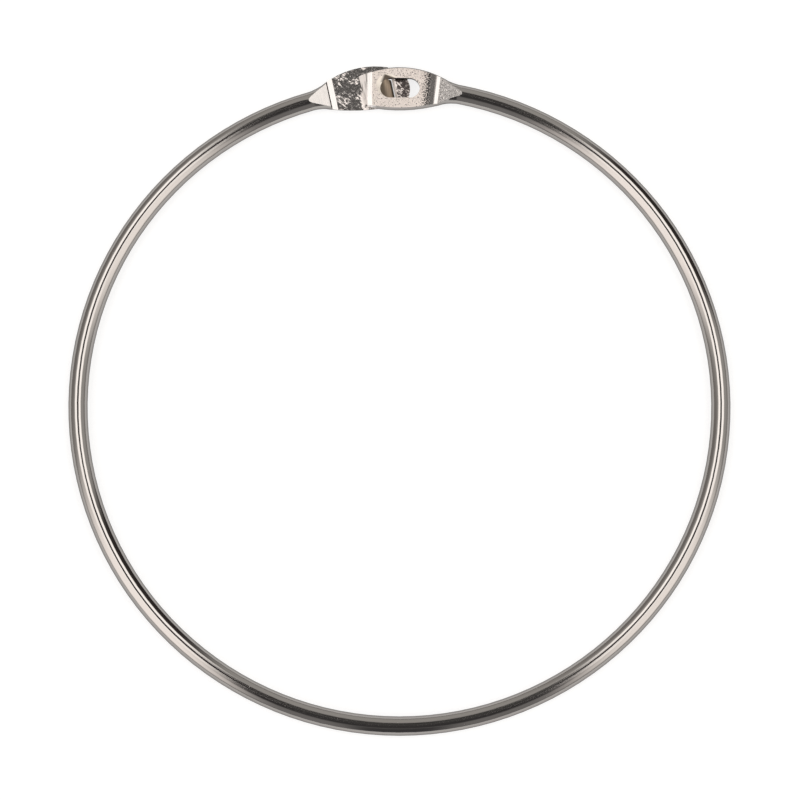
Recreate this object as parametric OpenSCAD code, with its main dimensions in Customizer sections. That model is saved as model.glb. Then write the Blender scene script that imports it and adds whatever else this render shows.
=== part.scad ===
// Binder ring: one springy wire hoop whose two flattened ends overlap and hook together.
// All sizes are in millimetres. The hoop lies in the XY plane, its axis is +Z and the clasp sits at +Y.
// The under end comes from -X and lies below the middle plane, the upper end comes from +X and lies above it.
// Distances "from the clasp" run along the wire's centreline from the middle of the clasp.

/* [Ring] */
// Inside diameter of the closed ring
inside_d = 76; // [55:1:110]
// Diameter of the round wire
wire_d = 2.35; // [2.1:0.05:2.6]

/* [Flattened ends] */
// Greatest width of a flattened end
blade_w = 5.38; // [4.8:0.02:6]
// Thickness of a flattened end
blade_t = 0.8; // [0.7:0.02:0.9]
// Air between the two overlapping ends
blade_gap = 0.1; // [0.06:0.02:0.2]
// Length over which the bowed sides narrow from the widest place to the width of the wire
bow_len = 6.33; // [5.6:0.01:7]
// Radius of the rounded long edges in section
edge_r = 1.4; // [1.36:0.02:1.5]
// Distance of that rounding's centre from the middle plane
edge_lift = 0.1; // [0.06:0.02:0.12]
// Distance from the clasp to the under end's widest place
under_widest = 2; // [1.8:0.05:2.4]
// Distance from the clasp to the upper end's widest place
upper_widest = 1.65; // [1.4:0.05:2]

/* [Necks] */
// Depth by which the hollow curves of the neck start inside the wire
neck_bite = 0.04; // [0.04:0.01:0.06]
// Length of the hollow curves behind the place where wire and bow are equally wide
neck_lead = 1.67; // [1.5:0.01:1.8]
// Length of the hollow curves ahead of that place
neck_in = 0.62; // [0.5:0.01:0.8]
// Length of the slanting facet above the step
step_facet = 2.49; // [2.2:0.01:2.8]
// Length of the slanting facet on the other face
rise_facet = 2.87; // [2.6:0.01:3.1]
// Height above the middle plane at which the facet above the step ends
fold_half = 0.66; // [0.55:0.01:0.75]
// Depth below the middle plane at which the facet on the other face ends
rise_half = 0.71; // [0.66:0.01:0.76]
// Length of the steep wall at the head of the step
crease_run = 0.16; // [0.1:0.01:0.25]
// Length of the shallow slope from that wall to the overlap face
step_run = 0.67; // [0.5:0.01:0.9]
// Drop along that slope
step_drop = 0.14; // [0.1:0.01:0.2]
// Length of the steep part of the rise on the other face
rise_run = 0.42; // [0.3:0.01:0.6]
// Length of the shallow part of that rise
ease_run = 0.83; // [0.5:0.01:1.2]
// Height gained by the shallow part
ease_rise = 0.05; // [0.03:0.01:0.06]

/* [Under end] */
// Distance by which the bowed outline sits outwards of the wire's centreline
under_set = 0.3; // [0.2:0.02:0.36]
// Distance from the clasp to the point of the round nose
under_reach = 2.95; // [2.7:0.05:3.2]
// Radius of the round nose
nose_r = 2.6; // [2.3:0.05:3]
// Length of the catch hole
catch_len = 1.7; // [1.6:0.05:2]
// Turn of the catch hole and of the tongue's bend in the plane of the ring
catch_turn = 10.5; // [8:0.5:12]
// Bevel on the upper edge of the wall that the tongue bears on
catch_bevel = 0.28; // [0.15:0.01:0.4]
// Air between that wall and the tongue
hook_gap = 0.06; // [0.04:0.01:0.12]
// Air between the sides of the catch hole and the tongue
catch_air = 0.06; // [0.04:0.01:0.15]

/* [Upper end] */
// Distance from the clasp to the centre of the slot's near round end
slot_near = 0.5; // [0.4:0.02:0.6]
// Distance from the clasp to the centre of the slot's far round end
slot_far = 2.9; // [2.7:0.02:3.1]
// Width of the slot
slot_w = 2.45; // [2.3:0.01:2.5]
// Air between the slot and each side of the tongue that is bent down from it
side_gap = 0.05; // [0.04:0.01:0.1]
// Thickness of the tongue
tongue_t = 0.5; // [0.4:0.01:0.54]
// Outer radius of the tongue's bend
tongue_r = 1.45; // [1.35:0.01:1.55]
// Distance from the clasp to the tongue's bearing face
tongue_face = 0.88; // [0.8:0.01:0.95]
// Depth of the sunk lip round the tongue's root
lip_depth = 0.25; // [0.2:0.01:0.3]
// Radius of the lip where it meets the tongue
lip_r = 1; // [0.9:0.01:1.1]
// Width of the lip, seen from above
lip_w = 0.45; // [0.3:0.01:0.5]
// Distance of the lip's centre from the slot's near round, towards the nose
lip_back = 0.25; // [0.15:0.01:0.35]
// Distance of the lip's centre from the slot's middle line, outwards
lip_out = 0.3; // [0.1:0.01:0.35]
// Distance from the clasp to the start of the nose's first bevel
bevel_start = 1.71; // [1.6:0.01:1.9]
// Length of the first bevel
bevel_run = 0.59; // [0.4:0.01:0.8]
// Slope of the first bevel
bevel_angle = 12; // [8:0.5:16]
// Slope of the second bevel
nose_angle = 25; // [18:0.5:28]
// Distance from the clasp to the middle of the sheared tip
upper_reach = 2.92; // [2.6:0.02:3.1]
// Slant of the sheared tip
tip_slant = 16.9; // [10:0.1:20]

/* [Hidden] */
$fn = 96;

wire_r = wire_d / 2;
ring_r = inside_d / 2 + wire_r;
half_gap = blade_gap / 2;
face_z = half_gap + blade_t;
rim_spare = 0.1;
rim_half = face_z + rim_spare;
degrees_per_mm = 180 / (PI * ring_r);

// The ring's outer and inner side
outer = 1;
inner = -1;
bow_turn = bow_len * degrees_per_mm;
waist = wire_r - neck_bite;
join_turn = (bow_len - neck_in) * degrees_per_mm;
neck_turn = (neck_lead + neck_in) * degrees_per_mm;

// Distances from the place where wire and bow are equally wide, along the wire
fold_back = 1.7;
neck_from = 0.97;
neck_past = 0.4;
neck_to = neck_in + neck_past;
wire_to = 0.83;

// Places on an end's side view, measured from the fold towards the clasp
step_base = 0.5;
rise_base = 0.22;
facet_past = 0.8;
step_slope = (wire_r - fold_half) / step_facet;
rise_slope = (wire_r - rise_half) / rise_facet;
step_tip = -step_base - step_facet - facet_past;
rise_tip = -rise_base - rise_facet - facet_past;
profile_end = 12;
cut_half_w = 6;
cut_h = 3;
lap = 0.02;

slot_mid = (slot_near + slot_far) / 2;
slot_half = (slot_far - slot_near) / 2;
slot_r = slot_w / 2;
tongue_top = face_z - lip_depth;
tongue_axis_z = tongue_top - tongue_r;
tongue_root = 0.5;
tongue_w = slot_w - 2 * side_gap;
catch_wall = tongue_face + hook_gap;
// The tongue's sides follow the slot, so the turned catch hole is wider by what they slant over the bend
hook_turn = catch_turn + (slot_mid - catch_wall) * degrees_per_mm;
catch_w = tongue_w / cos(hook_turn) + 2 * tongue_r * tan(hook_turn) + 2 * catch_air;
bevel_drop = bevel_run * tan(bevel_angle);
nose_run = 2.5;

// Distance from the ring's centre to the centre of an arc that passes its apex and one other point
function arc_centre(apex, other, turn) = (apex * apex - other * other) / (2 * (apex - other * cos(turn)));

// Distance from the ring's centre to such an arc at some turn
function arc_reach(centre, radius, turn, side) =
    centre * cos(turn) + side * sqrt(radius * radius - pow(centre * sin(turn), 2));

// Bowed sides: arcs centred on a line from the ring's centre, for an outline set outwards by some distance
function bow_apex(side, set) = ring_r + side * blade_w / 2 + set;
function bow_centre(side, set) = arc_centre(bow_apex(side, set), ring_r + side * wire_r, bow_turn);
function bow_radius(side, set) = side * (bow_apex(side, set) - bow_centre(side, set));

// Hollow curves of the neck, which start just inside the wire and end on the bowed sides
function neck_join(side, set) = arc_reach(bow_centre(side, set), bow_radius(side, set), join_turn, side);
function neck_centre(side, set) = arc_centre(ring_r + side * waist, neck_join(side, set), neck_turn);
function neck_radius(side, set) = side * (neck_centre(side, set) - ring_r) - waist;

// Moves to a place on the wire's centreline: x runs along the wire, y outwards
module at_arc(distance) {
    rotate([0, 0, -distance * degrees_per_mm])
        translate([0, ring_r, 0])
            children();
}

// Extrudes a side view (x along the wire, y up) across the end
module across(width) {
    rotate([90, 0, 0])
        linear_extrude(height = width, center = true)
            children();
}

// Disc with a rounded rim
module rimmed_disc(radius) {
    rotate_extrude() {
        translate([0, -rim_half])
            square([radius - edge_r, 2 * rim_half]);
        intersection() {
            translate([radius - edge_r, 0])
                circle(r = edge_r);
            translate([radius - edge_r, -rim_half])
                square([2 * edge_r, 2 * rim_half]);
        }
    }
}

// Disc with a groove that fits the wire
module grooved_disc(radius) {
    rotate_extrude() {
        difference() {
            translate([0, -cut_h])
                square([radius + wire_r, 2 * cut_h]);
            translate([radius + wire_r, 0])
                circle(r = wire_r);
        }
    }
}

// Bowed outline of an end with its rounded long edges
module bowed_blank(widest, set) {
    at_arc(-widest)
        translate([0, 0, -edge_lift])
            intersection() {
                translate([0, bow_centre(outer, set) - ring_r, 0])
                    rimmed_disc(bow_radius(outer, set));
                translate([0, bow_centre(inner, set) - ring_r, 0])
                    rimmed_disc(bow_radius(inner, set));
            }
}

// Waist between the wire and the bowed outline
module neck(widest, set) {
    meet = widest + bow_len;
    difference() {
        at_arc(-meet)
            translate([-neck_from, -cut_half_w, -cut_h / 2])
                cube([neck_from + neck_to, 2 * cut_half_w, cut_h]);
        for (side = [outer, inner])
            at_arc(-meet - neck_lead)
                translate([0, neck_centre(side, set) - ring_r, 0])
                    grooved_disc(neck_radius(side, set));
    }
}

// Side view of an end: facets, step down to the overlap face, rise to the outer face
module end_profile() {
    polygon([
        [step_tip, wire_r + facet_past * step_slope],
        [-step_base, fold_half],
        [-step_base + crease_run, step_drop - half_gap],
        [-step_base + crease_run + step_run, -half_gap],
        [profile_end, -half_gap],
        [profile_end, -face_z],
        [-rise_base + rise_run + ease_run, -face_z],
        [-rise_base + rise_run, ease_rise - face_z],
        [-rise_base, -rise_half],
        [rise_tip, -wire_r - facet_past * rise_slope]
    ]);
}

// Wedges that slice the two facets off the wire
module facet_cuts(widest) {
    at_arc(-(widest + bow_len - fold_back))
        across(2 * cut_half_w) {
            polygon([
                [step_tip, wire_r + facet_past * step_slope],
                [-step_base, fold_half],
                [-step_base, cut_h],
                [step_tip, cut_h]
            ]);
            polygon([
                [rise_tip, -wire_r - facet_past * rise_slope],
                [-rise_base, -rise_half],
                [-rise_base, -cut_h],
                [rise_tip, -cut_h]
            ]);
        }
}

// Flattened end before its own holes and tip are cut, in the place of the under end
module end_blank(widest, set = 0) {
    intersection() {
        union() {
            bowed_blank(widest, set);
            neck(widest, set);
        }
        at_arc(-(widest + bow_len - fold_back))
            across(2 * cut_half_w)
                end_profile();
    }
}

// Round wire from one neck round to the other, with the facets sliced off
module wire_hoop() {
    under_stop = (under_widest + bow_len - wire_to) * degrees_per_mm;
    upper_stop = (upper_widest + bow_len - wire_to) * degrees_per_mm;
    difference() {
        rotate([0, 0, 90 + under_stop])
            rotate_extrude(angle = 360 - under_stop - upper_stop)
                translate([ring_r, 0])
                    circle(d = wire_d);
        facet_cuts(under_widest);
        rotate([0, 180, 0])
            facet_cuts(upper_widest);
    }
}

// Under end: round nose and the catch hole with its bevelled bearing wall
module under_end() {
    difference() {
        end_blank(under_widest, under_set);
        at_arc(under_reach - nose_r)
            difference() {
                translate([0, -cut_half_w, -cut_h])
                    cube([profile_end, 2 * cut_half_w, 2 * cut_h]);
                cylinder(h = 3 * cut_h, r = nose_r, center = true);
            }
        at_arc(catch_wall)
            rotate([0, 0, catch_turn])
                across(catch_w)
                    polygon([
                        [-catch_len, -cut_h],
                        [0, -cut_h],
                        [0, -half_gap - catch_bevel],
                        [catch_bevel + lap, -half_gap + lap],
                        [catch_bevel + lap, cut_h],
                        [-catch_len, cut_h]
                    ]);
    }
}

// Slot of the upper end, with a round at both ends
module slot_outline() {
    square([2 * slot_half, slot_w], center = true);
    translate([-slot_half, 0])
        circle(r = slot_r);
    translate([slot_half, 0])
        circle(r = slot_r);
}

// Two bevels of the upper end's nose and its slanted shear cut
module nose_cuts() {
    break_x = -bevel_start - bevel_run - slot_mid;
    at_arc(slot_mid)
        across(2 * cut_half_w)
            polygon([
                [-bevel_start - slot_mid, face_z],
                [-bevel_start - slot_mid, cut_h],
                [break_x - nose_run, cut_h],
                [break_x - nose_run, face_z - bevel_drop - nose_run * tan(nose_angle)],
                [break_x, face_z - bevel_drop]
            ]);
    at_arc(slot_mid)
        translate([-upper_reach - slot_mid, 0, 0])
            rotate([0, 0, tip_slant])
                translate([-profile_end, -cut_half_w, -cut_h])
                    cube([profile_end, 2 * cut_half_w, 2 * cut_h]);
}

// Side view of the tongue: a flat root and a quarter bend downwards
module tongue_profile() {
    intersection() {
        difference() {
            circle(r = tongue_r);
            circle(r = tongue_r - tongue_t);
        }
        square(2 * tongue_r);
    }
    translate([-tongue_root, tongue_r - tongue_t])
        square([tongue_root, tongue_t]);
}

// Tongue bent down from the slot's near end through the catch hole
module tongue() {
    intersection() {
        at_arc(tongue_face)
            rotate([0, 0, catch_turn])
                translate([-tongue_r, 0, tongue_axis_z])
                    across(2 * slot_w)
                        tongue_profile();
        at_arc(slot_mid)
            translate([-cut_half_w, -tongue_w / 2, -cut_h])
                cube([2 * cut_half_w, tongue_w, 2 * cut_h]);
    }
}

// Upper end: slot with sunk lip, tongue and bevelled nose
module upper_end() {
    difference() {
        rotate([0, 180, 0])
            end_blank(upper_widest);
        at_arc(slot_mid)
            linear_extrude(height = 2 * cut_h, center = true)
                slot_outline();
        at_arc(slot_mid)
            translate([-slot_half - lip_back, lip_out, face_z - lip_depth])
                cylinder(h = 2 * lip_depth, r1 = lip_r, r2 = lip_r + 2 * lip_w);
        nose_cuts();
    }
    tongue();
}

// The whole ring: wire and both ends are one piece of metal
module binder_ring() {
    color("silver") {
        wire_hoop();
        under_end();
        upper_end();
    }
}

binder_ring();
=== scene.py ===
"""Binder ring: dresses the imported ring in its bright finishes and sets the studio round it.

Laid out as an add-on and run as a script. Lengths are metres, apart from places on the clasp, which are
millimetres along the wire's centreline from the middle of the clasp, outwards from it and above the
middle plane.
"""

import math

import bmesh
import bpy
from bpy.props import FloatProperty, FloatVectorProperty, PointerProperty
from bpy.types import NodeSocket, Operator, Panel, PropertyGroup
from mathutils import Matrix, Vector


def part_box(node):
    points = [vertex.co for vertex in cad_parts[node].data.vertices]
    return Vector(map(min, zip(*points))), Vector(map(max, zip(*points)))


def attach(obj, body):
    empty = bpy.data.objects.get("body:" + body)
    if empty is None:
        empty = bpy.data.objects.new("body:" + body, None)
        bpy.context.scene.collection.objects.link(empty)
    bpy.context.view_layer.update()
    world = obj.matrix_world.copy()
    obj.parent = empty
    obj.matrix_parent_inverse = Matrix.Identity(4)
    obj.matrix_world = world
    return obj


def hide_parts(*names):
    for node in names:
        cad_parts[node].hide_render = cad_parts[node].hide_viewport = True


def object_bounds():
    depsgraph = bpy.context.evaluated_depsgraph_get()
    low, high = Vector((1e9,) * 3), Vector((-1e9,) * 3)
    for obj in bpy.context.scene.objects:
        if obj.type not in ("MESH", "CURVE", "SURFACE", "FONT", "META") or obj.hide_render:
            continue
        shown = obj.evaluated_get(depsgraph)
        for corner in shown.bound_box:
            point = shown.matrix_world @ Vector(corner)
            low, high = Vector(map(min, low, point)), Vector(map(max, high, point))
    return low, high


bl_info = {
    "name": "Binder ring",
    "version": (1, 0, 0),
    "blender": (4, 5, 0),
    "location": "View3D > Sidebar > Binder ring",
    "description": "Dresses a closed binder ring in its bright finishes and sets the studio round it",
    "category": "Object",
}

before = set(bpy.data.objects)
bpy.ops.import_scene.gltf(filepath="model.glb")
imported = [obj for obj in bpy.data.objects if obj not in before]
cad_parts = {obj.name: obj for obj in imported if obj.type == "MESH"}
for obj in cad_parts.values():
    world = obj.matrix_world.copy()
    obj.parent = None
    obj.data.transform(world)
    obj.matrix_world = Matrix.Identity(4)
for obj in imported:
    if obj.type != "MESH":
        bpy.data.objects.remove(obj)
CAD_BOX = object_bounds()
NODE = "binder_ring"
BODY = "root"
MM = 0.001
MICRON = 0.000001

# The hoop's two radii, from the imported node's box
WIRE_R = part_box(NODE)[1].z
RING_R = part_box(NODE)[1].x - WIRE_R

# Places on the clasp, in millimetres, and the turn of the tongue
CLASP_HALF = 11.0
OVERLAP_HALF = 3.3
UPPER_FOLD = 6.28
UNDER_FOLD = 6.63
STEP_FACET_FROM = 0.5
STEP_STRIP_TO = -0.33
RISE_FACET_FROM = 0.22
RISE_STRIP_TO = -0.2
EASE_FROM = -1.03
NOSE_FROM = -1.68
SLOT_NEAR = 0.5
SLOT_R = 1.225
TONGUE_FACE = 0.88
TONGUE_TURN = math.radians(10.5)
TONGUE_LENGTH = 1.6
TONGUE_HALF = 1.2
TONGUE_TOP = 0.62
LIP_TOP = 0.84
LIP_AT = (0.25, 0.3)
LIP_R = 1.47
# Ends of the painted shade on the lip
LIP_SHADE_FROM = -1.0
LIP_SHADE_TO = 1.72
CATCH_EDGE = (0.8, 1.8)
CATCH_WEAR = 1.15
LOOSE = 0.04

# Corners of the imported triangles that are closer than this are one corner
MERGE = 1e-7

# Limits for a face's normal: level, nearly level, sloping along the wire as the facets do, on the first bevel
LEVEL = 0.995
NEARLY_LEVEL = 0.85
FACET_SLOPE = 0.1
FIRST_BEVEL = 0.95

# Finishes, in the order of the ring's material slots
DRAWN, POLISHED, STRIPED, SCUFFED, GRAINED, SHEARED, TONGUE_SHADE, PRESSED = range(8)


class RingFinish(PropertyGroup):
    """Colours and finish of the ring's metal."""

    plate_color: FloatVectorProperty(
        name="Plate", description="Colour of the bright plating", subtype="COLOR", size=3,
        min=0.0, max=1.0, default=(0.355, 0.338, 0.324))
    # Real rubbed wear on the overlap face, and painted highlight on the nose and the catch edge
    wear_and_highlight_color: FloatVectorProperty(
        name="Rubbed plate", description="Colour of the plating where the stamp rubbed it bright",
        subtype="COLOR", size=3, min=0.0, max=1.0, default=(0.88, 0.83, 0.80))
    grain_color: FloatVectorProperty(
        name="Grained plate", description="Colour of the plating on the grained faces", subtype="COLOR",
        size=3, min=0.0, max=1.0, default=(0.675, 0.618, 0.578))
    facet_color: FloatVectorProperty(
        name="Facet plate", description="Colour of the plating on strips and facets", subtype="COLOR",
        size=3, min=0.0, max=1.0, default=(0.42, 0.405, 0.395))
    # Painted highlight: the pale cream of the lip round the tongue
    lip_highlight_color: FloatVectorProperty(
        name="Lip", description="Colour of the lip round the tongue", subtype="COLOR",
        size=3, min=0.0, max=1.0, default=(0.86, 0.8, 0.72))
    # Painted shade: the dark brown of the tongue that is bent down into the slot
    tongue_shade_color: FloatVectorProperty(
        name="Tongue", description="Colour of the thinly plated tongue", subtype="COLOR", size=3,
        min=0.0, max=1.0, default=(0.105, 0.085, 0.065))
    # Painted highlight: the light band across the tongue's bend
    tongue_highlight_color: FloatVectorProperty(
        name="Rubbed tongue", description="Colour of the tongue where it was rubbed", subtype="COLOR", size=3,
        min=0.0, max=1.0, default=(0.64, 0.52, 0.4))
    # Painted shade: the under end's tip below the upper end, darker and browner
    tip_shade_color: FloatVectorProperty(
        name="Under tip", description="Colour of the under end's tip, in the slot", subtype="COLOR", size=3,
        min=0.0, max=1.0, default=(0.25, 0.212, 0.2))
    wire_roughness: FloatProperty(
        name="Wire roughness", description="Roughness of the drawn wire", subtype="FACTOR",
        min=0.0, max=1.0, default=0.09)
    grain_size: FloatProperty(
        name="Grain size", description="Size of one pit of the stamped grain", unit="LENGTH",
        min=0.00005, max=0.001, precision=5, default=0.00017)


class RingStudio(PropertyGroup):
    """Floor, surroundings and camera."""

    floor_color: FloatVectorProperty(
        name="Floor", description="Colour of the floor", subtype="COLOR", size=3,
        min=0.0, max=1.0, default=(0.3, 0.3, 0.3))
    floor_glow: FloatProperty(
        name="Floor white", description="Share of white that the floor adds to its own colour",
        subtype="FACTOR", min=0.0, max=1.0, default=0.76)
    floor_size: FloatProperty(
        name="Floor size", description="Length of the floor's sides", unit="LENGTH",
        min=1.0, max=200.0, default=60.0)
    room_strength: FloatProperty(
        name="Room", description="Brightness of the surroundings", min=0.0, max=4.0, default=1.0)
    camera_distance: FloatProperty(
        name="Camera distance", description="Distance from the camera to the ring", unit="LENGTH",
        min=0.2, max=3.0, default=0.6)
    camera_tilt: FloatProperty(
        name="Camera tilt", description="Lean of the camera away from straight down", unit="ROTATION",
        min=0.0, max=1.5, default=math.radians(7.8))
    camera_roll: FloatProperty(
        name="Camera roll", description="Turn of the picture about the camera's axis", unit="ROTATION",
        min=-0.5, max=0.5, default=math.radians(2.4))
    picture_width: FloatProperty(
        name="Picture width", description="Width of the view at the ring", unit="LENGTH",
        min=0.02, max=1.0, default=0.0975)
    aim_right: FloatProperty(
        name="Aim right", description="Shift of the aim to the right of the ring's centre", unit="LENGTH",
        min=-0.02, max=0.02, precision=5, default=0.00007)
    aim_up: FloatProperty(
        name="Aim up", description="Shift of the aim above the ring's centre", unit="LENGTH",
        min=-0.02, max=0.02, precision=5, default=0.00058)


# Node helpers

# Sockets of the Mix node that it uses for colours
MIX_FACTOR, MIX_FIRST, MIX_SECOND, MIX_RESULT = 0, 6, 7, 2

# Most of a noise lies between these values
NOISE_LOW = 0.3
NOISE_HIGH = 0.7


def add(tree, kind, inputs=None, **settings):
    """Adds a node with its settings, and gives each named or numbered input a value or a link."""
    made = tree.nodes.new(kind)
    for key, value in settings.items():
        setattr(made, key, value)
    for key, value in (inputs or {}).items():
        if isinstance(value, NodeSocket):
            tree.links.new(value, made.inputs[key])
        else:
            made.inputs[key].default_value = value
    return made


def calc(tree, operation, first, second=0.0):
    """One Math node."""
    return add(tree, "ShaderNodeMath", {0: first, 1: second}, operation=operation).outputs[0]


def fade(tree, value, low, high, to_low=0.0, to_high=1.0):
    """Smooth step of a value from one range to another."""
    ends = {"Value": value, "From Min": low, "From Max": high, "To Min": to_low, "To Max": to_high}
    return add(tree, "ShaderNodeMapRange", ends, interpolation_type="SMOOTHSTEP").outputs["Result"]


def vary(tree, grain, low, high):
    """A value that a noise moves between two ends."""
    return fade(tree, grain, NOISE_LOW, NOISE_HIGH, low, high)


def mix(tree, factor, first, second):
    """Mixes two colours."""
    inputs = {MIX_FACTOR: factor, MIX_FIRST: first, MIX_SECOND: second}
    return add(tree, "ShaderNodeMix", inputs, data_type="RGBA").outputs[MIX_RESULT]


def opaque(color):
    """A colour with full alpha."""
    return (*color, 1.0)


def new_group(name, inputs, outputs):
    """An empty node group with float sockets, and its two ends."""
    tree = bpy.data.node_groups.new(name, "ShaderNodeTree")
    for socket, default in inputs:
        made = tree.interface.new_socket(socket, in_out="INPUT", socket_type="NodeSocketFloat")
        made.default_value = default
    for socket in outputs:
        tree.interface.new_socket(socket, in_out="OUTPUT", socket_type="NodeSocketFloat")
    return tree, tree.nodes.new("NodeGroupInput").outputs, tree.nodes.new("NodeGroupOutput").inputs


def use_group(tree, name, inputs=None):
    """Places a node group, and returns its outputs."""
    return add(tree, "ShaderNodeGroup", inputs, node_tree=bpy.data.node_groups[name]).outputs


def noise(tree, first, second, third=0.0, detail=2.0, roughness=0.5):
    """Noise read at three values; a plain number as the third sets one pattern apart from another."""
    spot = add(tree, "ShaderNodeCombineXYZ", {0: first, 1: second, 2: third}).outputs[0]
    settings = {"Vector": spot, "Scale": 1.0, "Detail": detail, "Roughness": roughness}
    return add(tree, "ShaderNodeTexNoise", settings).outputs["Fac"]


# Node groups shared by the finishes

def wire_places_group():
    """Places on the ring in millimetres: along, out from and round the wire, past its fold and tongue."""
    names = ("Along", "Out", "Height", "Around", "Past fold", "Past tongue")
    tree, _, ends = new_group("wire_places", (), names)
    spot = add(tree, "ShaderNodeSeparateXYZ", {0: add(tree, "ShaderNodeTexCoord").outputs["Object"]})
    x, y, z = spot.outputs
    reach = calc(tree, "SQRT", calc(tree, "ADD", calc(tree, "MULTIPLY", x, x), calc(tree, "MULTIPLY", y, y)))
    out = calc(tree, "SUBTRACT", reach, RING_R)
    along = calc(tree, "MULTIPLY", calc(tree, "ARCTAN2", x, y), RING_R / MM)
    around = calc(tree, "MULTIPLY", calc(tree, "ARCTAN2", z, out), WIRE_R / MM)
    longer = calc(tree, "MULTIPLY", calc(tree, "LESS_THAN", along, 0.0), UNDER_FOLD - UPPER_FOLD)
    past_fold = calc(tree, "SUBTRACT", calc(tree, "ABSOLUTE", along), calc(tree, "ADD", longer, UPPER_FOLD))
    beside = calc(tree, "MULTIPLY", calc(tree, "SUBTRACT", along, TONGUE_FACE), math.cos(TONGUE_TURN))
    past_tongue = calc(tree, "ADD", beside, calc(tree, "MULTIPLY", out, math.sin(TONGUE_TURN) / MM))
    tree.links.new(along, ends["Along"])
    tree.links.new(calc(tree, "DIVIDE", out, MM), ends["Out"])
    tree.links.new(calc(tree, "DIVIDE", z, MM), ends["Height"])
    tree.links.new(around, ends["Around"])
    tree.links.new(past_fold, ends["Past fold"])
    tree.links.new(past_tongue, ends["Past tongue"])


def streaks_group():
    """Fine lines: noise drawn out along one value."""
    tree, given, ends = new_group(
        "streaks", (("Along", 0.0), ("Across", 0.0), ("Length", 6.0), ("Width", 0.1)), ("Height",))
    along = calc(tree, "DIVIDE", given["Along"], given["Length"])
    across = calc(tree, "DIVIDE", given["Across"], given["Width"])
    tree.links.new(noise(tree, along, across, detail=3.0), ends["Height"])


# Height of the grain below which it counts as polished, for a share of 0, what a share of 1 adds to it, and
# half the softness of that limit
PIT_HEIGHT = 0.34
PIT_RANGE = 0.32
PIT_SOFT = 0.04


def pits_group():
    """Fine stamped grain, and the share of it that is left polished."""
    names = (("Along", 0.0), ("Out", 0.0), ("Height", 0.0), ("Size", 0.17), ("Share", 0.2))
    tree, given, ends = new_group("pits", names, ("Height", "Polished"))
    places = [calc(tree, "DIVIDE", given[name], given["Size"]) for name in ("Along", "Out", "Height")]
    grain = noise(tree, *places, detail=2.0, roughness=0.6)
    limit = calc(tree, "ADD", PIT_HEIGHT, calc(tree, "MULTIPLY", given["Share"], PIT_RANGE))
    tree.links.new(grain, ends["Height"])
    tree.links.new(fade(tree, calc(tree, "SUBTRACT", grain, limit), PIT_SOFT, -PIT_SOFT), ends["Polished"])


# Marks to the millimetre: specks, patches of them, and scratches along and across their slant
SPECKS = 3.0
PATCHES = 0.6
SCRATCHES_ALONG = 0.8
SCRATCHES_ACROSS = 3.4

# Height of the noise above which it is a bold mark, for an amount of 0, what an amount of 1 takes off, what
# the patches take off, and the most that a faint speck shows
MARK_HEIGHT = 0.9
MARK_RANGE = 0.28
PATCH_RANGE = 0.12
FAINT_MOST = 0.32


def nicks_group():
    """Marks of handling: faint specks all over, and patches of bolder specks and short slanting scratches."""
    tree, given, ends = new_group("nicks", (("Along", 0.0), ("Out", 0.0), ("Amount", 0.5)), ("Mark",))
    along, out = given["Along"], given["Out"]
    speck_place = (calc(tree, "MULTIPLY", along, SPECKS), calc(tree, "MULTIPLY", out, SPECKS))
    faint = noise(tree, *speck_place, 7.0, detail=3.0, roughness=0.6)
    specks = noise(tree, *speck_place, 4.0, detail=4.0, roughness=0.62)
    slant = calc(tree, "MULTIPLY", calc(tree, "ADD", along, out), SCRATCHES_ACROSS)
    cross = calc(tree, "MULTIPLY", calc(tree, "SUBTRACT", along, out), SCRATCHES_ALONG)
    scratches = noise(tree, cross, slant, 9.0, detail=2.0, roughness=0.6)
    patch_place = (calc(tree, "MULTIPLY", along, PATCHES), calc(tree, "MULTIPLY", out, PATCHES))
    patches = fade(tree, noise(tree, *patch_place, 2.0, detail=1.0), 0.42, 0.6, 0.0, PATCH_RANGE)
    limit = calc(tree, "SUBTRACT", MARK_HEIGHT, calc(tree, "MULTIPLY", given["Amount"], MARK_RANGE))
    limit = calc(tree, "SUBTRACT", limit, patches)
    bold = calc(tree, "SUBTRACT", calc(tree, "MAXIMUM", specks, scratches), limit)
    faint_amount = fade(tree, given["Amount"], 0.4, 0.8, 0.0, FAINT_MOST)
    faint = calc(tree, "MULTIPLY", fade(tree, faint, 0.48, 0.7), faint_amount)
    tree.links.new(calc(tree, "MAXIMUM", fade(tree, bold, -0.03, 0.05), faint), ends["Mark"])


# Finishes

def new_metal(name, edge=1.0):
    """A metal material, with its tree and shader; edge is its brightness where it is seen at a slant."""
    made = bpy.data.materials.new(name)
    made.use_nodes = True
    shader = made.node_tree.nodes["Principled BSDF"]
    shader.inputs["Metallic"].default_value = 1.0
    shader.inputs["Specular Tint"].default_value = opaque((edge, edge, edge))
    return made, made.node_tree, shader


def coat(tree, shader, color, rough, height, microns):
    """Gives a shader its colour and roughness, and a relief whose full travel is in microns."""
    if isinstance(color, NodeSocket):
        tree.links.new(color, shader.inputs["Base Color"])
    else:
        shader.inputs["Base Color"].default_value = opaque(color)
    tree.links.new(rough, shader.inputs["Roughness"])
    relief = add(tree, "ShaderNodeBump", {"Height": height, "Strength": 1.0, "Distance": microns * MICRON})
    tree.links.new(relief.outputs["Normal"], shader.inputs["Normal"])


def stripes(tree, at, along, across, length, width):
    """Streaks along one of the wire's directions, with their length and width in millimetres."""
    inputs = {"Along": at[along], "Across": at[across], "Length": length, "Width": width}
    return use_group(tree, "streaks", inputs)["Height"]


def nicks(tree, along, out, amount):
    """Marks of handling on a face."""
    return use_group(tree, "nicks", {"Along": along, "Out": out, "Amount": amount})["Mark"]


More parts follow.
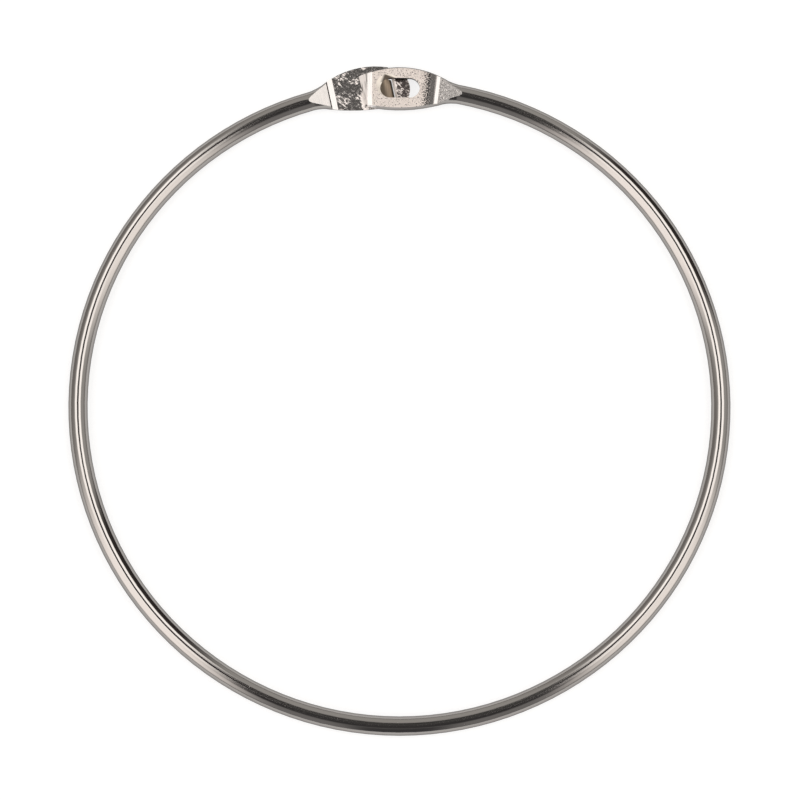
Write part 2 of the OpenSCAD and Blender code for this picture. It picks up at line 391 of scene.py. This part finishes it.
def pits(tree, at, size, share):
    """Stamped grain with pits of a size in metres."""
    inputs = {name: at[name] for name in ("Along", "Out", "Height")}
    return use_group(tree, "pits", {**inputs, "Size": size / MM, "Share": share})


# Brightness of the wire's sides, its amount of nicks, and what a nick adds to its roughness
WIRE_EDGE = 0.35
WIRE_NICKS = 0.22
NICK_ROUGHNESS = 0.3


def drawn_wire(finish):
    """Drawn and plated wire: a mirror with faint lines along it and a few specks."""
    made, tree, shader = new_metal("drawn_wire", WIRE_EDGE)
    at = use_group(tree, "wire_places")
    lines = stripes(tree, at, "Along", "Around", length=9.0, width=0.07)
    marks = nicks(tree, at["Along"], at["Around"], WIRE_NICKS)
    rough = fade(tree, lines, 0.35, 0.7, 0.6 * finish.wire_roughness, 1.5 * finish.wire_roughness)
    rough = calc(tree, "ADD", rough, calc(tree, "MULTIPLY", marks, NICK_ROUGHNESS))
    coat(tree, shader, finish.plate_color, rough, calc(tree, "ADD", lines, marks), microns=1.2)
    return made


def polished_strip(finish):
    """Slope beside a fold: rubbed bright by the stamp, with faint lines across the wire."""
    made, tree, shader = new_metal("polished_strip")
    at = use_group(tree, "wire_places")
    lines = stripes(tree, at, "Out", "Along", length=3.0, width=0.1)
    coat(tree, shader, finish.facet_color, vary(tree, lines, 0.16, 0.26), lines, microns=2.0)
    return made


def striped_facet(finish):
    """Facet above the step: bright, with fine stripes across the wire."""
    made, tree, shader = new_metal("striped_facet")
    at = use_group(tree, "wire_places")
    lines = stripes(tree, at, "Out", "Along", length=3.0, width=0.16)
    shade = mix(tree, fade(tree, lines, 0.42, 0.62), opaque(finish.plate_color), opaque(finish.facet_color))
    coat(tree, shader, shade, vary(tree, lines, 0.18, 0.34), lines, microns=6.0)
    return made


# On the overlap face, in millimetres: where the tip's painted shade fades in along the wire, and where the
# rubbed patch beside the nose does, along the wire and inwards
TIP_SHADE = (0.4, 1.4)
NOSE_RUB_ALONG = (NOSE_FROM - 1.8, NOSE_FROM - 1.2)
NOSE_RUB_OUT = (0.8, -0.6)

# Amounts of scuffs on that face, at its tip, and added beside the nose
SCUFFS = 0.74
TIP_SCUFFS = 0.92
NOSE_SCUFFS = 0.55

# Raggedness of the wear at the catch edge, in millimetres, and its bites to the millimetre
WEAR_RAGGED = 1.6
WEAR_BITES = 3.0


def scuffed_blade(finish):
    """Overlap face: polished, with specks and scratches, worn at the catch edge, and with painted shade in a
    darker brown at its tip, under the upper end.
    """
    made, tree, shader = new_metal("scuffed_blade")
    at = use_group(tree, "wire_places")
    tip = fade(tree, at["Along"], *TIP_SHADE)
    beside_nose = calc(
        tree, "MULTIPLY", fade(tree, at["Along"], *NOSE_RUB_ALONG), fade(tree, at["Out"], *NOSE_RUB_OUT))
    nose_scuffs = calc(
        tree, "MULTIPLY", beside_nose, fade(tree, at["Along"], 0.0, NOSE_FROM, 0.0, NOSE_SCUFFS))
    amount = calc(tree, "ADD", fade(tree, tip, 0.0, 1.0, SCUFFS, TIP_SCUFFS), nose_scuffs)
    marks = nicks(tree, at["Along"], at["Out"], amount)
    ragged = noise(tree, at["Along"], calc(tree, "MULTIPLY", at["Out"], WEAR_BITES), 5.0)
    ragged = calc(tree, "MULTIPLY", ragged, WEAR_RAGGED)
    worn = fade(tree, calc(tree, "ADD", at["Past tongue"], ragged), CATCH_WEAR + 0.1, CATCH_WEAR - 0.1)
    worn = calc(tree, "MULTIPLY", worn, fade(tree, at["Past tongue"], 0.0, 0.1))
    marks = calc(tree, "MAXIMUM", marks, worn)
    # Painted shade: darker and browner towards the tip, which lies under the upper end
    ground = mix(tree, tip, opaque(finish.plate_color), opaque(finish.tip_shade_color))
    shade = mix(tree, marks, ground, opaque(finish.wear_and_highlight_color))
    coat(tree, shader, shade, fade(tree, marks, 0.0, 1.0, 0.165, 0.6), marks, microns=10.0)
    return made


# Past the fold, in millimetres: where the grain gives way to polish, where more specks fade in towards the
# nose, and where the polish turns satin before the strip
POLISH_RUN = (EASE_FROM - 1.25, EASE_FROM + 1.0)
SPECK_RUN = (-UPPER_FOLD - 0.7, -UPPER_FOLD - 1.3)
SATIN_RUN = (EASE_FROM + 0.62, RISE_STRIP_TO)

# Roughness of the grain, of the polish and the satin, and what the facet takes off the satin's
GRAIN_ROUGHNESS = 0.5
POLISH_ROUGHNESS = 0.1
SATIN_ROUGHNESS = 0.25
FACET_SMOOTHER = 0.17


def grained_blade(finish):
    """Outer side of a stamped end: matt grain that gives way to polish towards the fold, darker beyond it."""
    made, tree, shader = new_metal("grained_blade")
    at = use_group(tree, "wire_places")
    beyond = fade(tree, at["Past fold"], RISE_STRIP_TO, RISE_FACET_FROM)
    share = fade(tree, at["Past fold"], *POLISH_RUN, 0.1, 1.3)
    share = calc(tree, "ADD", share, fade(tree, at["Past fold"], *SPECK_RUN, 0.0, 0.3))
    grain = pits(tree, at, finish.grain_size, calc(tree, "SUBTRACT", share, beyond))
    matt = calc(tree, "SUBTRACT", 1.0, grain["Polished"])
    face = mix(tree, beyond, opaque(finish.grain_color), opaque(finish.facet_color))
    shade = mix(tree, grain["Polished"], face, opaque(finish.plate_color))
    smooth = fade(tree, at["Past fold"], *SATIN_RUN, POLISH_ROUGHNESS, SATIN_ROUGHNESS)
    smooth = calc(tree, "SUBTRACT", smooth, calc(tree, "MULTIPLY", beyond, FACET_SMOOTHER))
    rough = calc(tree, "MAXIMUM", calc(tree, "MULTIPLY", matt, GRAIN_ROUGHNESS), smooth)
    lines = stripes(tree, at, "Out", "Along", length=3.0, width=0.16)
    relief = calc(tree, "ADD", grain["Height"], calc(tree, "MULTIPLY", lines, 0.4))
    coat(tree, shader, shade, rough, calc(tree, "MULTIPLY", relief, matt), microns=60.0)
    return made


def sheared_nose(finish):
    """Bevelled nose of the upper end: a pale painted highlight, with marks of the cut across it."""
    made, tree, shader = new_metal("sheared_nose")
    at = use_group(tree, "wire_places")
    lines = stripes(tree, at, "Out", "Along", length=2.4, width=0.14)
    # Painted highlight: pale ground, with darker lines of the cut across it
    shade = mix(tree, fade(tree, lines, 0.52, 0.36), opaque(finish.wear_and_highlight_color), opaque(finish.plate_color))
    coat(tree, shader, shade, vary(tree, lines, 0.26, 0.46), lines, microns=12.0)
    return made


# Past the tongue's face, in millimetres: where its painted highlight band fades in, and out before its shaded
# edge
TONGUE_HIGHLIGHT_IN = (-1.2, -0.5)
TONGUE_HIGHLIGHT_OUT = (-0.2, -0.38)


def shaded_tongue(finish):
    """Tongue: painted shade in a dark brown, with lines along the bend, and a painted highlight band before
    its dark edge.
    """
    made, tree, shader = new_metal("shaded_tongue")
    at = use_group(tree, "wire_places")
    lines = stripes(tree, at, "Out", "Along", length=4.0, width=0.12)
    # Painted highlight: a light band across the tongue's bend, fading out before its dark edge
    tongue_highlight = calc(
        tree, "MULTIPLY", fade(tree, at["Past tongue"], *TONGUE_HIGHLIGHT_IN), fade(tree, at["Past tongue"], *TONGUE_HIGHLIGHT_OUT))
    tongue_highlight = calc(tree, "MULTIPLY", tongue_highlight, vary(tree, lines, 0.6, 1.2))
    shade = mix(tree, tongue_highlight, opaque(finish.tongue_shade_color), opaque(finish.tongue_highlight_color))
    coat(tree, shader, shade, vary(tree, lines, 0.45, 0.6), lines, microns=6.0)
    return made


# Heights on the lip, in millimetres, between which its painted highlight changes colour, places between which
# its painted shade fades in outwards, and the slant of the painted shade's two ends
LIP_HEIGHT = (0.3, 0.5)
LIP_SHADE_OUT = (0.7, 0.9)
LIP_SLANT_FROM = 0.5
LIP_SLANT_TO = 0.4
# The lip is only partly metal, so that its pale painted highlight shows from every side
LIP_METALLIC = 0.3


def pressed_lip(finish):
    """Lip round the tongue's root and edge of the catch hole: matt and uneven, pale as a painted highlight,
    with painted shade in a dark brown on the lip's outer part.
    """
    made, tree, shader = new_metal("pressed_lip")
    shader.inputs["Metallic"].default_value = LIP_METALLIC
    at = use_group(tree, "wire_places")
    grain = pits(tree, at, 2.0 * finish.grain_size, 0.1)
    above = fade(tree, at["Height"], *LIP_HEIGHT)
    # Pale painted highlight: the catch edge below, the lip above
    pale = mix(tree, above, opaque(finish.wear_and_highlight_color), opaque(finish.lip_highlight_color))
    shade = mix(tree, grain["Polished"], pale, opaque(finish.grain_color))
    inner = calc(tree, "SUBTRACT", at["Along"], calc(tree, "MULTIPLY", at["Out"], LIP_SLANT_FROM))
    outer = calc(tree, "ADD", at["Out"], calc(tree, "MULTIPLY", at["Along"], LIP_SLANT_TO))
    # Painted shade in the tongue's dark brown on the lip's outer, upper part beside the tongue
    lip_shade = calc(
        tree, "MULTIPLY", fade(tree, inner, LIP_SHADE_FROM - 0.2, LIP_SHADE_FROM + 0.2),
        fade(tree, outer, LIP_SHADE_TO + 0.1, LIP_SHADE_TO - 0.1))
    lip_shade = calc(tree, "MULTIPLY", lip_shade, fade(tree, at["Out"], *LIP_SHADE_OUT))
    shade = mix(tree, calc(tree, "MULTIPLY", lip_shade, above), shade, opaque(finish.tongue_shade_color))
    coat(tree, shader, shade, vary(tree, grain["Height"], 0.45, 0.65), grain["Height"], microns=20.0)
    return made


# One for each finish, in their order
FINISHES = (
    drawn_wire, polished_strip, striped_facet, scuffed_blade, grained_blade, sheared_nose, shaded_tongue,
    pressed_lip)


# The ring

def clasp_place(point):
    """Along, out and height of a point, in millimetres."""
    along = RING_R * math.atan2(point.x, point.y)
    out = math.hypot(point.x, point.y) - RING_R
    return along / MM, out / MM, point.z / MM


def on_tongue(along, out, height):
    """Whether a place is on the tongue that is bent down from the slot."""
    past = (along - TONGUE_FACE) * math.cos(TONGUE_TURN) + out * math.sin(TONGUE_TURN)
    in_slot = along > SLOT_NEAR or math.hypot(along - SLOT_NEAR, out) < SLOT_R
    return in_slot and abs(out) < TONGUE_HALF and -TONGUE_LENGTH < past < LOOSE and height < TONGUE_TOP


def on_lip(along, out, height):
    """Whether a place is on the sunk lip round the tongue's root."""
    return TONGUE_TOP - LOOSE < height < LIP_TOP and math.hypot(along - LIP_AT[0], out - LIP_AT[1]) < LIP_R


def on_catch_edge(along, out, height, outward):
    """Whether a place is on the bevelled edge of the catch hole."""
    facing_up = -NEARLY_LEVEL < outward < -1.0 + NEARLY_LEVEL
    return CATCH_EDGE[0] < along < CATCH_EDGE[1] and abs(out) < SLOT_R and height < 0.0 and facing_up


def outer_finish(from_fold, slope):
    """Finish of a nearly level face on the outer side of an end."""
    if from_fold < RISE_STRIP_TO:
        return GRAINED
    if from_fold < RISE_FACET_FROM:
        return POLISHED
    return GRAINED if slope > FACET_SLOPE else DRAWN


def step_finish(from_fold, slope):
    """Finish of a nearly level face on the side of an end that has the step."""
    if from_fold < STEP_STRIP_TO:
        return SCUFFED
    if from_fold < STEP_FACET_FROM:
        return POLISHED
    return STRIPED if slope > FACET_SLOPE else DRAWN


def finish_of(face):
    """The finish that a face of the ring has, from its place and the way it faces."""
    middle = face.calc_center_median()
    along, out, height = clasp_place(middle)
    if abs(along) > CLASP_HALF:
        return DRAWN
    if on_tongue(along, out, height):
        return TONGUE_SHADE
    upper = along > OVERLAP_HALF or (height > 0.0 and along > -OVERLAP_HALF)
    side = 1.0 if upper else -1.0
    outward = face.normal.z * side
    if upper and on_lip(along, out, height) and outward > 0.0:
        return PRESSED
    if not upper and on_catch_edge(along, out, height, outward):
        return PRESSED
    if upper and along < NOSE_FROM and 0.0 < outward < LEVEL:
        return POLISHED if outward > FIRST_BEVEL else SHEARED
    if abs(outward) < NEARLY_LEVEL:
        return DRAWN
    slope = abs(face.normal.dot(Vector((middle.y, -middle.x, 0.0)).normalized()))
    from_fold = along * side - (UPPER_FOLD if upper else UNDER_FOLD)
    return outer_finish(from_fold, slope) if outward > 0.0 else step_finish(from_fold, slope)


class RING_OT_dress(Operator):
    """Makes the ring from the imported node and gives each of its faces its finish"""

    bl_idname = "binder_ring.dress"
    bl_label = "Ring"

    def execute(self, context):
        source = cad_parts[NODE]
        normals = [tuple(corner.vector) for corner in source.data.corner_normals]
        ring = self.merged_copy(source)
        if len(ring.data.loops) != len(normals):
            raise RuntimeError("the merged ring lost faces")
        ring.data.normals_split_custom_set(normals)
        for build in (wire_places_group, streaks_group, pits_group, nicks_group):
            build()
        finish = context.scene.ring_finish
        for build in FINISHES:
            ring.data.materials.append(build(finish))
        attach(ring, BODY)
        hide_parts(NODE)
        return {"FINISHED"}

    def merged_copy(self, source):
        """A copy of the node with its loose triangles joined, smooth, and its faces sorted by finish."""
        shape = bmesh.new()
        shape.from_mesh(source.data)
        bmesh.ops.remove_doubles(shape, verts=shape.verts, dist=MERGE)
        for face in shape.faces:
            face.smooth = True
            face.material_index = finish_of(face)
        mesh = bpy.data.meshes.new("plated_ring")
        shape.to_mesh(mesh)
        shape.free()
        ring = bpy.data.objects.new("plated_ring", mesh)
        bpy.context.scene.collection.objects.link(ring)
        return ring


# The studio

# Parts of the surroundings, about the direction that a level face mirrors, in degrees: middle azimuth, half
# width, nearest and furthest angle from that direction, softness of the sides and of the ends, and colour
SURROUNDINGS = (
    (0, 180, 76, 115, 1, 10, (0.48, 0.46, 0.44)),
    (150, 32, 54, 115, 15, 10, (0.38, 0.355, 0.335)),
    (270, 36, -20, 115, 8, 8, (0.35, 0.34, 0.335)),
    (0, 56, 9.5, 34, 7, 6, (2.75, 2.66, 2.58)),
    (180, 56, 9.5, 33, 7, 6, (2.75, 2.66, 2.58)),
    (215, 20, 22, 84, 13, 12, (2.35, 2.22, 2.14)),
    (327, 19, 22, 82, 13, 12, (2.15, 2.04, 1.96)),
    (270, 33, -20, 44, 7, 9, (0.08, 0.077, 0.078)),
    (270, 9, 50, 92, 4, 6, (0.1, 0.097, 0.1)),
    (90, 34, -20, 24, 8, 7, (0.08, 0.077, 0.075)),
    (39, 17, 40, 96, 6, 5, (0.06, 0.052, 0.047)),
    (0, 180, -20, 9.5, 1, 1.5, (0.11, 0.107, 0.105)),
)
ROOM_COLOR = (0.69, 0.67, 0.64)
SENSOR_WIDTH = 36.0
CLIP_START = 0.01
CLIP_END = 200.0


def camera_axes(studio):
    """Right, up and towards the camera, as the picture shows them."""
    up_flat = Vector((math.sin(studio.camera_roll), math.cos(studio.camera_roll), 0.0))
    right = Vector((up_flat.y, -up_flat.x, 0.0))
    towards = Vector((0.0, 0.0, 1.0)) * math.cos(studio.camera_tilt) - up_flat * math.sin(studio.camera_tilt)
    return right, towards.cross(right), towards


def mirrored_axes(studio):
    """Right, up and the direction that a level face mirrors to the camera."""
    right, _, towards = camera_axes(studio)
    mirrored = Vector((-towards.x, -towards.y, towards.z))
    return right, mirrored.cross(right), mirrored


def soft_panel_group():
    """Mask of one part of the surroundings between two azimuths and two angles from the axis, in radians."""
    names = ("Azimuth", "Angle", "Middle", "Half width", "Near", "Far", "Side blur", "End blur")
    tree, given, ends = new_group("soft_panel", [(name, 0.0) for name in names], ("Mask",))
    away = calc(tree, "COSINE", calc(tree, "SUBTRACT", given["Azimuth"], given["Middle"]))
    away = calc(tree, "ARCCOSINE", away)
    sides = fade(tree, away, calc(tree, "ADD", given["Half width"], given["Side blur"]),
                 calc(tree, "SUBTRACT", given["Half width"], given["Side blur"]))
    start = fade(
        tree, given["Angle"], calc(tree, "SUBTRACT", given["Near"], given["End blur"]), given["Near"])
    stop = fade(tree, given["Angle"], calc(tree, "ADD", given["Far"], given["End blur"]),
                calc(tree, "SUBTRACT", given["Far"], given["End blur"]))
    tree.links.new(calc(tree, "MULTIPLY", sides, calc(tree, "MULTIPLY", start, stop)), ends["Mask"])


class RING_OT_stage(Operator):
    """Makes the floor, the surroundings and the camera"""

    bl_idname = "binder_ring.stage"
    bl_label = "Stage"

    def execute(self, context):
        studio = context.scene.ring_studio
        context.scene.view_settings.view_transform = "Standard"
        self.make_floor(context, studio)
        self.make_surroundings(context, studio)
        self.make_camera(context, studio)
        return {"FINISHED"}

    def make_floor(self, context, studio):
        shape = bmesh.new()
        bmesh.ops.create_grid(shape, x_segments=1, y_segments=1, size=studio.floor_size / 2)
        bmesh.ops.translate(shape, verts=shape.verts, vec=(0.0, 0.0, CAD_BOX[0].z))
        mesh = bpy.data.meshes.new("floor")
        shape.to_mesh(mesh)
        shape.free()
        floor = bpy.data.objects.new("floor", mesh)
        context.scene.collection.objects.link(floor)
        mesh.materials.append(self.pale_floor(studio))

    def pale_floor(self, studio):
        """White to the camera and in reflections, with the ring's soft shadow."""
        made = bpy.data.materials.new("pale_floor")
        made.use_nodes = True
        tree = made.node_tree
        shader = tree.nodes["Principled BSDF"]
        shader.inputs["Base Color"].default_value = opaque(studio.floor_color)
        shader.inputs["Roughness"].default_value = 1.0
        shader.inputs["Specular IOR Level"].default_value = 0.0
        shader.inputs["Emission Color"].default_value = opaque((1.0, 1.0, 1.0))
        ray = add(tree, "ShaderNodeLightPath").outputs
        seen = calc(tree, "MAXIMUM", ray["Is Camera Ray"], ray["Is Glossy Ray"])
        seen = calc(tree, "MAXIMUM", seen, ray["Is Transmission Ray"])
        tree.links.new(calc(tree, "MULTIPLY", seen, studio.floor_glow), shader.inputs["Emission Strength"])
        return made

    def make_surroundings(self, context, studio):
        soft_panel_group()
        world = bpy.data.worlds.new("studio")
        world.use_nodes = True
        context.scene.world = world
        tree = world.node_tree
        ray = add(tree, "ShaderNodeTexCoord").outputs["Generated"]
        right, up, mirrored = (
            add(tree, "ShaderNodeVectorMath", {0: ray, 1: axis}, operation="DOT_PRODUCT").outputs["Value"]
            for axis in mirrored_axes(studio))
        azimuth = calc(tree, "ARCTAN2", up, right)
        angle = calc(tree, "ARCCOSINE", mirrored)
        color = opaque(ROOM_COLOR)
        for middle, half, near, far, side_blur, end_blur, shade in SURROUNDINGS:
            values = {"Middle": middle, "Half width": half, "Near": near, "Far": far,
                      "Side blur": side_blur, "End blur": end_blur}
            inputs = {name: math.radians(value) for name, value in values.items()}
            mask = use_group(tree, "soft_panel", {"Azimuth": azimuth, "Angle": angle, **inputs})["Mask"]
            color = mix(tree, mask, color, opaque(shade))
        background = tree.nodes["Background"]
        background.inputs["Strength"].default_value = studio.room_strength
        tree.links.new(color, background.inputs["Color"])

    def make_camera(self, context, studio):
        right, up, towards = camera_axes(studio)
        aim = right * studio.aim_right + up * studio.aim_up
        data = bpy.data.cameras.new("camera")
        data.sensor_width = SENSOR_WIDTH
        data.lens = SENSOR_WIDTH * studio.camera_distance / studio.picture_width
        data.clip_start = CLIP_START
        data.clip_end = CLIP_END
        camera = bpy.data.objects.new("camera", data)
        turn = Matrix((right, up, towards)).transposed().to_4x4()
        camera.matrix_world = Matrix.Translation(aim + towards * studio.camera_distance) @ turn
        context.scene.collection.objects.link(camera)
        context.scene.camera = camera


class RING_PT_panel(Panel):
    """Lists the ring's sizes, colours and steps"""

    bl_idname = "RING_PT_panel"
    bl_label = "Binder ring"
    bl_space_type = "VIEW_3D"
    bl_region_type = "UI"
    bl_category = "Binder ring"

    def draw(self, context):
        for settings in (context.scene.ring_finish, context.scene.ring_studio):
            box = self.layout.box()
            for name in settings.bl_rna.properties.keys():
                if name not in {"rna_type", "name"}:
                    box.prop(settings, name)
        for operator in (RING_OT_dress, RING_OT_stage):
            self.layout.operator(operator.bl_idname)


CLASSES = (RingFinish, RingStudio, RING_OT_dress, RING_OT_stage, RING_PT_panel)


def register():
    for cls in CLASSES:
        bpy.utils.register_class(cls)
    bpy.types.Scene.ring_finish = PointerProperty(type=RingFinish)
    bpy.types.Scene.ring_studio = PointerProperty(type=RingStudio)


def unregister():
    del bpy.types.Scene.ring_studio
    del bpy.types.Scene.ring_finish
    for cls in reversed(CLASSES):
        bpy.utils.unregister_class(cls)


def main():
    register()
    bpy.ops.binder_ring.dress()
    bpy.ops.binder_ring.stage()


if __name__ == "__main__":
    main()
